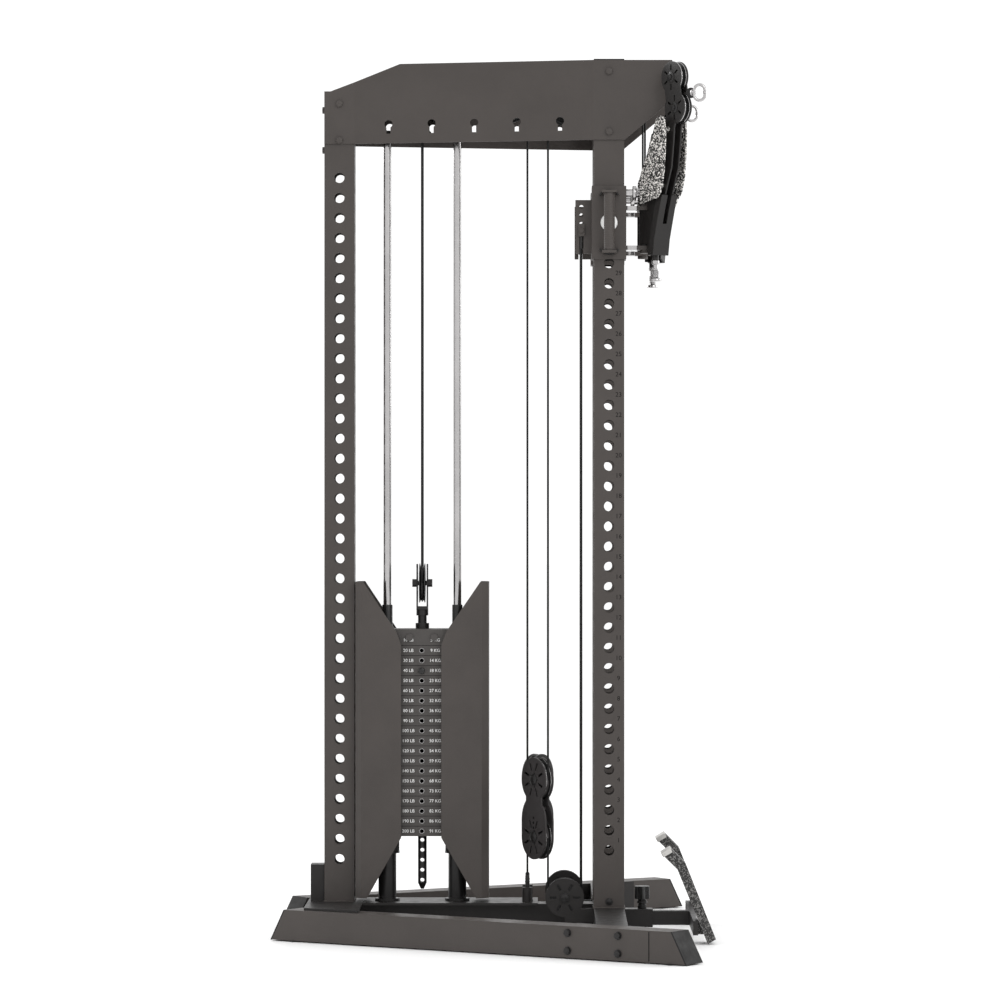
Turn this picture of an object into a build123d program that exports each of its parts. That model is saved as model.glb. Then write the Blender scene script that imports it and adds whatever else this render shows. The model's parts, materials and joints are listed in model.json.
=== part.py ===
from build123d import *
import math
import os

os.makedirs("parts", exist_ok=True)

# Cable crossover machine, millimetres. +Z up, the user's side is -Y, left is -X.
# The origin is on the floor at the middle of the footprint.

# uprights and their hole grid
POST = 75
WALL = 3
PITCH = 50
HOLE_R = 12.5
PAD = 3
DECK = PAD + POST
REAR_Y = 383
FRONT_Y = -288
FRONT_X = 125
TOP_Z = 2171
REAR_TOP = 2100
REAR_FIRST = 189.5
REAR_HOLES = 35
FRONT_FIRST = 220
FRONT_HOLES = 32

# side feet: rear and front ends of the left foot's centre line
FOOT_REAR = (-155.5, 526.2)
FOOT_FRONT = (-804.5, -478.1)
FOOT_CUT = 40

# cables and pulleys
CABLE_R = 2.5
GAP = 0.3
AXLE_R = 8
WHEEL_W = 15
TOP_R = 43
TOP_PULLEY_Z = 2082
FLOAT_R = 47.75
STACK_R = 44.5
BASE_R = 41.3
BASE_PULLEY_Y = -178.7
BASE_PULLEY_Z = 101.6
SWIVEL_Y = -377.5
ANCHOR_Y = -220
FLOAT_FRONT = (-125, -137.4)
FLOAT_REAR = (-44.5, -86)
FLOAT_TOP_Z = 391
FLOAT_LOW_Z = 248

# weight stack
STACK_Y = 177
ROD_R = 10
ROD_Y = (89.5, 264.5)
STACK_W = 230
STACK_D = 110
PLATE_H = 25
HEAD_H = 41
STACK_LOW = 248
PLATES = 19
PICKED = 3
STEM_R = 11

# trolley and swivel arm; the arm is drawn along +X with its pivot on the Z axis
TROLLEY_Z = 1770
SLEEVE = 85
SLEEVE_H = 181
ARM_TURN = 35
HEAD_U = (34, 1872)
HEAD_R = 34
LOW_U = (138, 2046)
HIGH_U = (124, 2122)
ROLLER_R = 33

PLATE_TOP = STACK_LOW + PLATES * PLATE_H
HEAD_TOP = PLATE_TOP + HEAD_H
PIN_Z = PLATE_TOP - (PICKED - 0.5) * PLATE_H
TOP_P1_Y = SWIVEL_Y + TOP_R
TOP_P2_Y = FLOAT_FRONT[1] - TOP_R
TOP_P3_Y = FLOAT_REAR[1] + TOP_R
TOP_P4_Y = STACK_Y - TOP_R
STACK_PULLEY_Z = 878


def save(builder, label):
    builder.part.label = label
    export_step(builder.part, "parts/" + label + ".step")


def bar_x(x0, x1, y, z, r, mode=Mode.ADD):
    with Locations(((x0 + x1) / 2, y, z)):
        Cylinder(r, abs(x1 - x0), rotation=(0, 90, 0), mode=mode)


def bar_y(x, y0, y1, z, r, mode=Mode.ADD):
    with Locations((x, (y0 + y1) / 2, z)):
        Cylinder(r, abs(y1 - y0), rotation=(90, 0, 0), mode=mode)


def bar_z(x, y, z0, z1, r, mode=Mode.ADD):
    with Locations((x, y, (z0 + z1) / 2)):
        Cylinder(r, abs(z1 - z0), mode=mode)


def block(x0, x1, y0, y1, z0, z1, mode=Mode.ADD):
    with Locations(((x0 + x1) / 2, (y0 + y1) / 2, (z0 + z1) / 2)):
        Box(abs(x1 - x0), abs(y1 - y0), abs(z1 - z0), mode=mode)


def wheel(cable_r, bore_r, width):
    rim = cable_r + 5
    root = cable_r - CABLE_R - GAP
    half = width / 2
    with BuildPart() as made:
        with BuildSketch(Plane.XZ):
            with BuildLine():
                Polyline(
                    (bore_r, -half),
                    (rim, -half),
                    (rim, 1.5 - half),
                    (root, -3),
                    (root, 3),
                    (rim, half - 1.5),
                    (rim, half),
                    (bore_r, half),
                    close=True,
                )
            make_face()
        revolve(axis=Axis.Z)
    return made.part


def across(part, x, y, z, turn=0):
    return Pos(x, y, z) * Rot(0, 0, turn) * Rot(0, 90, 0) * part


def post_solid(x, y, z0, z1, first, count):
    with BuildPart() as made:
        block(x - POST / 2, x + POST / 2, y - POST / 2, y + POST / 2, z0, z1)
        inner = POST / 2 - WALL
        block(x - inner, x + inner, y - inner, y + inner, z0, z1, Mode.SUBTRACT)
        for n in range(count):
            bar_x(x - POST, x + POST, y, first + n * PITCH, HOLE_R, Mode.SUBTRACT)
            bar_y(x, y - POST, y + POST, first + (n + 0.5) * PITCH, HOLE_R, Mode.SUBTRACT)
    return made.part


def cable_over(x, y0, y1, z, r):
    with BuildPart() as made:
        with BuildLine(Plane.YZ.offset(x)) as run:
            CenterArc((y0 + r, z), r, 180, -90)
            Line((y0 + r, z + r), (y1 - r, z + r))
            CenterArc((y1 - r, z), r, 90, -90)
        with BuildSketch(Plane(origin=run.line @ 0, z_dir=run.line % 0)):
            Circle(CABLE_R)
        sweep()
    return made.part


def half_loop(r, start, size):
    with BuildPart() as made:
        with BuildLine(Plane.XZ) as run:
            CenterArc((0, 0), r, start, size)
        with BuildSketch(Plane(origin=run.line @ 0, z_dir=run.line % 0)):
            Circle(CABLE_R)
        sweep()
    return made.part


# ---------------------------------------------------------------- side feet
foot_dx = FOOT_FRONT[0] - FOOT_REAR[0]
foot_dy = FOOT_FRONT[1] - FOOT_REAR[1]
foot_len = math.hypot(foot_dx, foot_dy)
foot_dir = (foot_dx / foot_len, foot_dy / foot_len)
foot_plane = Plane(
    origin=(FOOT_REAR[0], FOOT_REAR[1], PAD),
    x_dir=(foot_dir[0], foot_dir[1], 0),
    z_dir=(foot_dir[1], -foot_dir[0], 0),
)
CAP = 4
with BuildPart() as foot_one:
    with BuildSketch(foot_plane):
        with BuildLine():
            Polyline(
                (CAP, 0),
                (foot_len - CAP, 0),
                (foot_len - FOOT_CUT - CAP, POST),
                (FOOT_CUT + CAP, POST),
                close=True,
            )
        make_face()
    extrude(amount=POST / 2, both=True)
    with BuildSketch(foot_plane):
        with Locations((foot_len / 2, POST / 2)):
            Rectangle(foot_len, POST - 2 * WALL)
    extrude(amount=POST / 2 - WALL, both=True, mode=Mode.SUBTRACT)

with BuildPart() as foot_caps_one:
    for ends in ((0, CAP, FOOT_CUT), (foot_len, -CAP, -FOOT_CUT)):
        with BuildSketch(foot_plane):
            with BuildLine():
                Polyline(
                    (ends[0], 0),
                    (ends[0] + ends[1], 0),
                    (ends[0] + ends[1] + ends[2], POST),
                    (ends[0] + ends[2], POST),
                    close=True,
                )
            make_face()
        extrude(amount=POST / 2, both=True)

with BuildPart() as foot_left:
    add(foot_one.part)
save(foot_left, "foot_left")
with BuildPart() as foot_right:
    add(mirror(foot_one.part, about=Plane.YZ))
save(foot_right, "foot_right")


# ------------------------------------------------- base: spine, cross member
def foot_point(y):
    share = (FOOT_REAR[1] - y) / (FOOT_REAR[1] - FOOT_FRONT[1])
    return FOOT_REAR[0] + share * foot_dx


FLANGE_T = 8
FLANGE_L = 190
FLANGE_Y = -262
foot_deg = math.degrees(math.atan2(foot_dir[1], foot_dir[0]))
cross_rear = FRONT_Y + POST / 2
cross_front = FRONT_Y - POST / 2
beam_rear = 460
flange_mid = (foot_point(FLANGE_Y), FLANGE_Y)
inward = (-foot_dir[1], foot_dir[0])
flange_at = (
    flange_mid[0] + inward[0] * (POST / 2 + FLANGE_T / 2),
    flange_mid[1] + inward[1] * (POST / 2 + FLANGE_T / 2),
)
RECEIVER = 45
TUBE = 35
TUBE_Z = 41
with BuildPart() as base_frame:
    block(-800, 800, cross_front, cross_rear, PAD, DECK)
    block(-800, 800, cross_front + WALL, cross_rear - WALL, PAD + WALL, DECK - WALL, Mode.SUBTRACT)
    reach = 500
    for side in (-1, 1):
        spot_x = flange_at[0] - inward[0] * (FLANGE_T / 2 + reach / 2)
        spot_y = flange_at[1] - inward[1] * (FLANGE_T / 2 + reach / 2)
        turn = foot_deg if side < 0 else 180 - foot_deg
        with Locations((-side * spot_x, spot_y, DECK / 2)):
            Box(1600, reach + 2 * FLANGE_T, 200, rotation=(0, 0, turn), mode=Mode.SUBTRACT)
        with Locations((-side * flange_at[0], flange_at[1], PAD + POST / 2)):
            Box(FLANGE_L, FLANGE_T, POST, rotation=(0, 0, turn))
    block(-POST / 2, POST / 2, cross_rear, beam_rear, PAD, DECK)
    block(-POST / 2 + WALL, POST / 2 - WALL, cross_rear, beam_rear, PAD + WALL, DECK - WALL, Mode.SUBTRACT)
    hole = TUBE / 2 + 0.1
    half = RECEIVER / 2
    block(-half, half, cross_front - 74, cross_front, TUBE_Z - half, TUBE_Z + half)
    block(-hole, hole, cross_front - 80, cross_front + 10, TUBE_Z - hole, TUBE_Z + hole, Mode.SUBTRACT)
    bar_z(0, -373, TUBE_Z, TUBE_Z + 40, 5.05, Mode.SUBTRACT)
save(base_frame, "base_frame")

PLATE_T = 6
with BuildPart() as base_plates:
    with BuildSketch(Plane.XY.offset(DECK)):
        with BuildLine():
            Polyline((-225, 462), (225, 462), (312, 325), (-312, 325), close=True)
        make_face()
    extrude(amount=PLATE_T)
    block(-85, 85, -112, 324.5, DECK, DECK + PLATE_T)
    block(-30, 30, 421.5, 455, DECK + PLATE_T, 176)
    block(-24, 24, 428, 456, DECK + PLATE_T, 170, Mode.SUBTRACT)
    for side in (-1, 1):
        for face in (-1, 1):
            mid = side * FRONT_X + face * 10.5
            bar_x(mid - 2, mid + 2, BASE_PULLEY_Y, BASE_PULLEY_Z, 48)
            block(mid - 2, mid + 2, cross_rear, BASE_PULLEY_Y, 40, DECK - 4)
            bar_x(mid - 3, mid + 3, BASE_PULLEY_Y, BASE_PULLEY_Z, AXLE_R, Mode.SUBTRACT)
            with Locations(Plane(origin=(mid, BASE_PULLEY_Y, BASE_PULLEY_Z), z_dir=(1, 0, 0))):
                with PolarLocations(29, 6, 30):
                    Box(16, 6, 6, mode=Mode.SUBTRACT)
        spot = side * -FLOAT_REAR[0]
        bar_z(spot, FLOAT_REAR[1], DECK + PLATE_T, 120, 13)
        bar_z(spot, FLOAT_REAR[1], DECK + PLATE_T, 130, CABLE_R + 0.3, Mode.SUBTRACT)
save(base_plates, "base_plates")

# ----------------------------------------------------------------- uprights
with BuildPart() as rear_upright:
    add(post_solid(0, REAR_Y, DECK + PLATE_T, REAR_TOP, REAR_FIRST, REAR_HOLES))
save(rear_upright, "rear_upright")

for side, label in ((-1, "front_upright_left"), (1, "front_upright_right")):
    with BuildPart() as front_upright:
        add(post_solid(side * FRONT_X, FRONT_Y, DECK, TOP_Z, FRONT_FIRST, FRONT_HOLES))
        mid = side * FRONT_X
        bar_y(mid, cross_front - 5, cross_rear + 5, FRONT_FIRST + (FRONT_HOLES + 0.5) * PITCH, HOLE_R, Mode.SUBTRACT)
        block(mid - 13, mid + 13, cross_front - 5, FRONT_Y, 2026, 2136, Mode.SUBTRACT)
        block(mid - 10, mid + 10, FRONT_Y, cross_rear + 5, 2112, 2136, Mode.SUBTRACT)
    save(front_upright, label)

# ---------------------------------------------------------- top side plates
SKIN = 4
LOW_EDGE = 1974
KEYHOLES = (260, 152, 46, -60, -167)


def side_plate(side):
    x_rear = side * POST / 2
    x_front = side * (FRONT_X + POST / 2)
    skin = side * SKIN
    with BuildPart() as made:
        with BuildSketch(Plane.XY.offset(LOW_EDGE)):
            with BuildLine():
                Polyline(
                    (x_rear, 420.5),
                    (x_rear, 345),
                    (x_front, -250),
                    (x_front, -444),
                    (x_front + skin, -444),
                    (x_front + skin, -249.6),
                    (x_rear + skin, 345.4),
                    (x_rear + skin, 420.5),
                    close=True,
                )
            make_face()
        extrude(amount=TOP_Z - LOW_EDGE)
        with BuildSketch(Plane.YZ):
            with BuildLine():
                Polyline(
                    (421, LOW_EDGE - 1),
                    (421, 2105),
                    (405, 2105),
                    (231, TOP_Z),
                    (-444, TOP_Z),
                    (-444, 2072),
                    (-325.5, LOW_EDGE - 1),
                    close=True,
                )
            make_face()
        extrude(amount=300, both=True, mode=Mode.INTERSECT)
        for key_y in KEYHOLES:
            bar_x(-300, 300, key_y, 2022, 10, Mode.SUBTRACT)
            block(-300, 300, key_y - 5, key_y + 5, 1998, 2022, Mode.SUBTRACT)
    return made.part


with BuildPart() as top_plate_left:
    add(side_plate(-1))
save(top_plate_left, "top_plate_left")
with BuildPart() as top_plate_right:
    add(side_plate(1))
save(top_plate_right, "top_plate_right")

# ------------------------------------------------------- guide rod mounts
STAND_TOP = 208
with BuildPart() as rod_mounts:
    for y in ROD_Y:
        bar_z(0, y, DECK + PLATE_T, STAND_TOP, 22.5)
        bar_z(0, y, DECK + PLATE_T, DECK + PLATE_T + 6, 31)
        bar_z(0, y, STAND_TOP - 5, STAND_TOP, 31)
    with BuildSketch(Plane.XY.offset(1990)):
        with BuildLine():
            Polyline((-50, 281), (50, 281), (91, 62), (-91, 62), close=True)
        make_face()
    extrude(amount=6)
    for y in ROD_Y:
        bar_z(0, y, 1996, 2008, 20)
        bar_z(0, y, 50, 2100, ROD_R, Mode.SUBTRACT)
    for side in (-1, 1):
        bar_z(side * STACK_R, STACK_Y, 1980, 2000, 8, Mode.SUBTRACT)
save(rod_mounts, "rod_mounts")


# -------------------------------------------------------------- stack covers
def cover(near, far, corner, end):
    skin = 2.5 if end > near else -2.5
    with BuildPart() as made:
        with BuildSketch(Plane.XY.offset(95)):
            with BuildLine():
                Polyline(
                    (-75, near),
                    (-75, far),
                    (-60, end),
                    (60, end),
                    (75, far),
                    (75, near),
                    (72.5, near),
                    (72.5, far - skin / 2.4),
                    (58.5, end - skin),
                    (-58.5, end - skin),
                    (-72.5, far - skin / 2.4),
                    (-72.5, near),
                    close=True,
                )
            make_face()
        extrude(amount=787)
        with BuildSketch(Plane.YZ):
            with BuildLine():
                Polyline(
                    (near, 245),
                    (near, 725),
                    (near + (corner - near) * 0.14, 757),
                    (corner + (end - corner) * 0.4, 882),
                    (end, 882),
                    (end, 95),
                    (corner + (end - corner) * 0.1, 95),
                    close=True,
                )
            make_face()
        extrude(amount=100, both=True, mode=Mode.INTERSECT)
    return made.part


with BuildPart() as stack_covers:
    add(cover(228, 327, 310, 342))
    add(cover(128, 28, 45, 10))
save(stack_covers, "stack_covers")


# ------------------------------------------------------------- weight plates
def slab(z0, height, pinned):
    with BuildPart() as made:
        half_w = STACK_W / 2
        block(-STACK_D / 2, STACK_D / 2, STACK_Y - half_w, STACK_Y + half_w, z0, z0 + height - 0.1)
        for y in ROD_Y:
            bar_z(0, y, z0 - 1, z0 + height + 1, ROD_R + 0.05, Mode.SUBTRACT)
        bar_z(0, STACK_Y, z0 - 1, z0 + height + 1, STEM_R + 0.05, Mode.SUBTRACT)
        if pinned:
            bar_x(-STACK_D, 0, STACK_Y, z0 + height / 2, 5, Mode.SUBTRACT)
    return made.part


one_plate = slab(0, PLATE_H, True)
with BuildPart() as lower_weight_plates:
    for n in range(PLATES - PICKED):
        add(Pos(0, 0, STACK_LOW + n * PLATE_H) * one_plate)
save(lower_weight_plates, "lower_weight_plates")

with BuildPart() as top_weight_plates:
    for n in range(PLATES - PICKED, PLATES):
        add(Pos(0, 0, STACK_LOW + n * PLATE_H) * one_plate)
    add(slab(PLATE_TOP, HEAD_H, False))
    for side in (-1, 1):
        bar_x(-STACK_D / 2 - 5, -STACK_D / 2, STACK_Y + side * 31, PLATE_TOP + 20, 9)
save(top_weight_plates, "top_weight_plates")

with BuildPart() as selector_stem:
    bar_z(0, STACK_Y, 128, 800, STEM_R)
    with Locations((0, STACK_Y, 120.5)):
        Cone(4, STEM_R, 15)
    for n in range(22):
        bar_x(-20, 20, STACK_Y, PIN_Z - n * PLATE_H, 5, Mode.SUBTRACT)
    bar_z(0, STACK_Y, HEAD_TOP, HEAD_TOP + 14, 17)
    bar_z(0, STACK_Y, 797, 812, 15)
    block(-18, 18, STACK_Y - 14.5, STACK_Y + 14.5, 812, 820)
    for side in (-1, 1):
        inner = STACK_Y + side * 11
        outer = STACK_Y + side * 14.5
        block(-18, 18, inner, outer, 820, 926)
        bar_y(0, inner, outer, STACK_PULLEY_Z, 6, Mode.SUBTRACT)
    bar_y(0, STACK_Y - 25, STACK_Y + 25, STACK_PULLEY_Z, 6)
    bar_y(0, STACK_Y - 25, STACK_Y - 14.6, STACK_PULLEY_Z, 10)
    bar_y(0, STACK_Y + 14.6, STACK_Y + 25, STACK_PULLEY_Z, 10)
    add(Pos(0, STACK_Y, STACK_PULLEY_Z) * half_loop(STACK_R, 180, 180))
save(selector_stem, "selector_stem")

with BuildPart() as stack_pulley:
    add(across(wheel(STACK_R, 6.05, WHEEL_W), 0, STACK_Y, STACK_PULLEY_Z, 90))
save(stack_pulley, "stack_pulley")

with BuildPart() as selector_pin:
    bar_x(-STACK_D / 2 - 6, 10, STACK_Y, PIN_Z, 4.5)
    bar_x(-STACK_D / 2 - 34, -STACK_D / 2 - 5, STACK_Y, PIN_Z, 10)
save(selector_pin, "selector_pin")

# --------------------------------------------------------------- top pulleys
top_wheel = wheel(TOP_R, AXLE_R + 0.05, WHEEL_W)
with BuildPart() as top_pulleys_swivel:
    for side in (-1, 1):
        add(across(top_wheel, side * FRONT_X, TOP_P1_Y, TOP_PULLEY_Z))
save(top_pulleys_swivel, "top_pulleys_swivel")
with BuildPart() as top_pulleys_front:
    for side in (-1, 1):
        add(across(top_wheel, side * FRONT_X, TOP_P2_Y, TOP_PULLEY_Z))
save(top_pulleys_front, "top_pulleys_front")
with BuildPart() as top_pulleys_middle:
    for side in (-1, 1):
        add(across(top_wheel, side * STACK_R, TOP_P3_Y, TOP_PULLEY_Z))
save(top_pulleys_middle, "top_pulleys_middle")
with BuildPart() as top_pulleys_stack:
    for side in (-1, 1):
        add(across(top_wheel, side * STACK_R, TOP_P4_Y, TOP_PULLEY_Z))
save(top_pulleys_stack, "top_pulleys_stack")


def plate_inner(y):
    if y < -250:
        return FRONT_X + POST / 2
    return POST / 2 + (345 - y) * FRONT_X / 595


with BuildPart() as rods_and_axles:
    for y in ROD_Y:
        bar_z(0, y, DECK + PLATE_T, 2010, ROD_R)
    for y in (TOP_P1_Y, TOP_P2_Y, TOP_P3_Y, TOP_P4_Y):
        reach = plate_inner(y + AXLE_R)
        bar_x(-reach, reach, y, TOP_PULLEY_Z, AXLE_R)
    for side in (-1, 1):
        mid = side * FRONT_X
        bar_x(mid - 16, mid + 16, BASE_PULLEY_Y, BASE_PULLEY_Z, AXLE_R)
save(rods_and_axles, "rods_and_axles")

# -------------------------------------------------------------- base pulleys
for side, label in ((-1, "base_pulley_left"), (1, "base_pulley_right")):
    with BuildPart() as base_pulley:
        add(across(wheel(BASE_R, AXLE_R + 0.05, WHEEL_W), side * FRONT_X, BASE_PULLEY_Y, BASE_PULLEY_Z))
    save(base_pulley, label)


# ---------------------------------------------------- cable held by the frame
with BuildPart() as cable_runs:
    for side in (-1, 1):
        add(cable_over(side * FRONT_X, SWIVEL_Y, FLOAT_FRONT[1], TOP_PULLEY_Z, TOP_R))
        add(cable_over(side * STACK_R, FLOAT_REAR[1], STACK_Y, TOP_PULLEY_Z, TOP_R))
        low_loop = Rot(0, 0, 90) * half_loop(BASE_R, 180, 180)
        add(Pos(side * FRONT_X, BASE_PULLEY_Y, BASE_PULLEY_Z) * low_loop)
save(cable_runs, "cable_runs")

# ------------------------------------------------------------ floating blocks
FLOAT_TURN = math.degrees(math.atan2(FLOAT_REAR[1] - FLOAT_FRONT[1], FLOAT_REAR[0] - FLOAT_FRONT[0]))
FLOAT_MID = ((FLOAT_FRONT[0] + FLOAT_REAR[0]) / 2, (FLOAT_FRONT[1] + FLOAT_REAR[1]) / 2)
LOBE = 55
with BuildPart() as float_one:
    for face in (-1, 1):
        with BuildSketch(Plane.XZ.offset(face * 10.5)):
            with Locations((0, FLOAT_TOP_Z), (0, FLOAT_LOW_Z), (0, FLOAT_LOW_Z + 40)):
                Circle(LOBE)
            with Locations((0, FLOAT_LOW_Z + 20)):
                Rectangle(2 * LOBE, 40)
            with Locations((0, (FLOAT_TOP_Z + FLOAT_LOW_Z) / 2)):
                Rectangle(70, FLOAT_TOP_Z - FLOAT_LOW_Z)
            for z in (FLOAT_TOP_Z, FLOAT_LOW_Z):
                with Locations((0, z)):
                    Circle(AXLE_R, mode=Mode.SUBTRACT)
                    with PolarLocations(34, 8, 22.5):
                        SlotOverall(22, 6, mode=Mode.SUBTRACT)
        extrude(amount=2, both=True)
    for z in (FLOAT_TOP_Z, FLOAT_LOW_Z):
        bar_y(0, -15, 15, z, AXLE_R)
    for x in (-22, 22):
        bar_y(x, -8.5, 8.5, (FLOAT_TOP_Z + FLOAT_LOW_Z) / 2, 5)
    add(Pos(0, 0, FLOAT_TOP_Z) * half_loop(FLOAT_R, 180, 180))
    add(Pos(0, 0, FLOAT_LOW_Z) * half_loop(FLOAT_R, 0, 180))

float_wheel = wheel(FLOAT_R, AXLE_R + 0.05, WHEEL_W)
for side, word in ((-1, "left"), (1, "right")):
    turn = FLOAT_TURN if side < 0 else 180 - FLOAT_TURN
    mid_x = -side * FLOAT_MID[0]
    with BuildPart() as float_frame:
        add(Pos(mid_x, FLOAT_MID[1], 0) * Rot(0, 0, turn) * float_one.part)
    save(float_frame, "float_frame_" + word)
    with BuildPart() as float_upper:
        add(across(float_wheel, mid_x, FLOAT_MID[1], FLOAT_TOP_Z, turn + 90))
    save(float_upper, "float_pulley_upper_" + word)
    with BuildPart() as float_lower:
        add(across(float_wheel, mid_x, FLOAT_MID[1], FLOAT_LOW_Z, turn + 90))
    save(float_lower, "float_pulley_lower_" + word)
    front = (-side * FLOAT_FRONT[0], FLOAT_FRONT[1])
    rear = (-side * FLOAT_REAR[0], FLOAT_REAR[1])
    with BuildPart() as upper_strands:
        for spot in (front, rear):
            bar_z(spot[0], spot[1], FLOAT_TOP_Z, TOP_PULLEY_Z, CABLE_R)
    save(upper_strands, "float_upper_strands_" + word)
    with BuildPart() as lower_strands:
        for spot in (front, rear):
            bar_z(spot[0], spot[1], BASE_PULLEY_Z, FLOAT_LOW_Z, CABLE_R)
    save(lower_strands, "float_lower_strands_" + word)
    with BuildPart() as axis_strand:
        bar_z(side * FRONT_X, SWIVEL_Y, HEAD_U[1], TOP_PULLEY_Z, CABLE_R)
    save(axis_strand, "swivel_strand_" + word)
    with BuildPart() as base_strand:
        bar_z(side * FRONT_X, ANCHOR_Y, BASE_PULLEY_Z, 1738, CABLE_R)
    save(base_strand, "trolley_strand_" + word)

with BuildPart() as stack_strands:
    for side in (-1, 1):
        bar_z(side * STACK_R, STACK_Y, STACK_PULLEY_Z, TOP_PULLEY_Z, CABLE_R)
save(stack_strands, "stack_strands")

# ------------------------------------------------------------------ trolleys
LOCK_Z = 1845
LUG_TOP = 1802
LUG_LOW = 1704
LUG_T = 10
PIVOT_R = 8
for side, word in ((-1, "left"), (1, "right")):
    mid = side * FRONT_X
    out = side * (FRONT_X + SLEEVE / 2)
    half = SLEEVE / 2
    face_y = FRONT_Y - half
    back_y = FRONT_Y + half
    z0 = TROLLEY_Z - SLEEVE_H / 2
    z1 = TROLLEY_Z + SLEEVE_H / 2
    with BuildPart() as trolley:
        block(mid - half, mid + half, face_y, back_y, z0, z1)
        gap = POST / 2 + 0.1
        block(mid - gap, mid + gap, FRONT_Y - gap, FRONT_Y + gap, z0, z1, Mode.SUBTRACT)
        bar_x(mid - 60, mid + 60, FRONT_Y, TROLLEY_Z, 21.5, Mode.SUBTRACT)
        bar_y(mid, face_y - 1, face_y + 6, LOCK_Z, 10.05, Mode.SUBTRACT)
        for z in (LUG_TOP, LUG_LOW):
            block(mid - 20, mid + 20, SWIVEL_Y, face_y, z, z + LUG_T)
            bar_z(mid, SWIVEL_Y, z, z + LUG_T, 20)
        block(mid - 3, mid + 3, back_y, -205, 1695, 1828)
        block(mid - 4, mid + 4, ANCHOR_Y - 5, ANCHOR_Y + 5, 1690, 1741, Mode.SUBTRACT)
        for z in (1811, 1790, 1769):
            bar_x(mid - 5, mid + 5, ANCHOR_Y, z, 5, Mode.SUBTRACT)
        for z in (TROLLEY_Z + 74, TROLLEY_Z - 74):
            block(out + side * 0.05, out + side * 52, FRONT_Y - 18, FRONT_Y + 18, z - 3, z + 3)
        bar_z(out + side * 38, FRONT_Y, TROLLEY_Z - 71, TROLLEY_Z + 71, 13)
        bar_z(mid, SWIVEL_Y, LUG_LOW - 8, LUG_TOP + LUG_T + 6, PIVOT_R)
        bar_z(mid, SWIVEL_Y, LUG_LOW - 8, LUG_LOW, 13)
        for grip in (-1, 1):
            block(mid + grip * 3, mid + grip * 9, ANCHOR_Y - 8, ANCHOR_Y + 8, 1738, 1768)
        bar_x(mid - 13, mid + 13, ANCHOR_Y, 1752, 6)
        block(mid - 9, mid + 9, ANCHOR_Y - 8, ANCHOR_Y + 8, 1738.3, 1741)
    save(trolley, "trolley_" + word)
    with BuildPart() as lock_pin:
        bar_y(mid, face_y + 4.5, face_y - 17, LOCK_Z, 10)
        bar_y(mid, face_y - 16, face_y - 25, LOCK_Z, 17)
        bar_y(mid, face_y - 25, face_y - 34, LOCK_Z, 11)
    save(lock_pin, "lock_pin_" + word)

# --------------------------------------------------------------- swivel arms
arm_outline = (
    (0, 1718),
    (0, 1799),
    (26, 1799),
    (26, 1816),
    (16, 1850),
    (30, 1905),
    (70, 1960),
    (93, 2000),
    (112, 2046),
    (160, 2046),
    (137, 2000),
    (133, 1960),
    (125, 1900),
    (105, 1850),
    (86, 1800),
    (66, 1730),
    (60, 1690),
    (28, 1690),
    (26, 1718),
)
fork_outline = (
    (60, 1690),
    (66, 1730),
    (86, 1800),
    (98, 1836),
    (103, 1834),
    (91, 1798),
    (71, 1728),
    (65, 1688),
)
fork_side = (
    (46, 1700),
    (52, 1732),
    (72, 1802),
    (84, 1836),
    (98, 1836),
    (86, 1800),
    (66, 1730),
    (60, 1690),
)
cheek_outline = (
    (25, 1816),
    (95, 1827),
    (108, 1840),
    (121, 1880),
    (127, 1940),
    (129, 1988),
    (125, 2022),
    (108, 2028),
    (91, 2020),
    (74, 1976),
    (57, 1939),
    (28, 1891),
    (25, 1847),
)


def upright_sheet(points, low, high):
    with BuildPart() as made:
        with BuildSketch(Plane.XZ.offset(-high)):
            with BuildLine():
                Polyline(*points, close=True)
            make_face()
        extrude(amount=high - low)
    return made.part


with BuildPart() as arm_one:
    bar_z(0, 0, LUG_LOW + LUG_T + 0.5, LUG_TOP - 0.5, 14)
    for face in (-1, 1):
        low, high = sorted((face * 8.5, face * 12.5))
        add(upright_sheet(arm_outline, low, high))
        for spot in (LOW_U, HIGH_U):
            bar_y(spot[0], low, high, spot[1], 39)
        with Locations(((LOW_U[0] + HIGH_U[0]) / 2, face * 10.5, (LOW_U[1] + HIGH_U[1]) / 2)):
            Box(60, 4, 70, rotation=(0, -10.4, 0))
        low, high = sorted((face * 20, face * 24))
        add(upright_sheet(fork_side, low, high))
    add(upright_sheet(fork_outline, -24, 24))
    block(60, 120, -6, 6, 1765, 1845, Mode.SUBTRACT)
    bar_z(0, 0, LUG_LOW, LUG_TOP + 20, PIVOT_R + 0.05, Mode.SUBTRACT)
    for spot in (HEAD_U, LOW_U, HIGH_U):
        bar_y(spot[0], -20, 20, spot[1], AXLE_R, Mode.SUBTRACT)
    for spot in (LOW_U, HIGH_U):
        with Locations(Plane(origin=(spot[0], 0, spot[1]), z_dir=(0, -1, 0))):
            with PolarLocations(24, 6):
                Box(14, 5, 60, mode=Mode.SUBTRACT)
    for spot in (HEAD_U, LOW_U, HIGH_U):
        bar_y(spot[0], -15, 15, spot[1], AXLE_R)
    bar_y(44, -16, 16, 1700, 5)
    bar_z(44, 0, 1670, 1708, 8)

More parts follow.
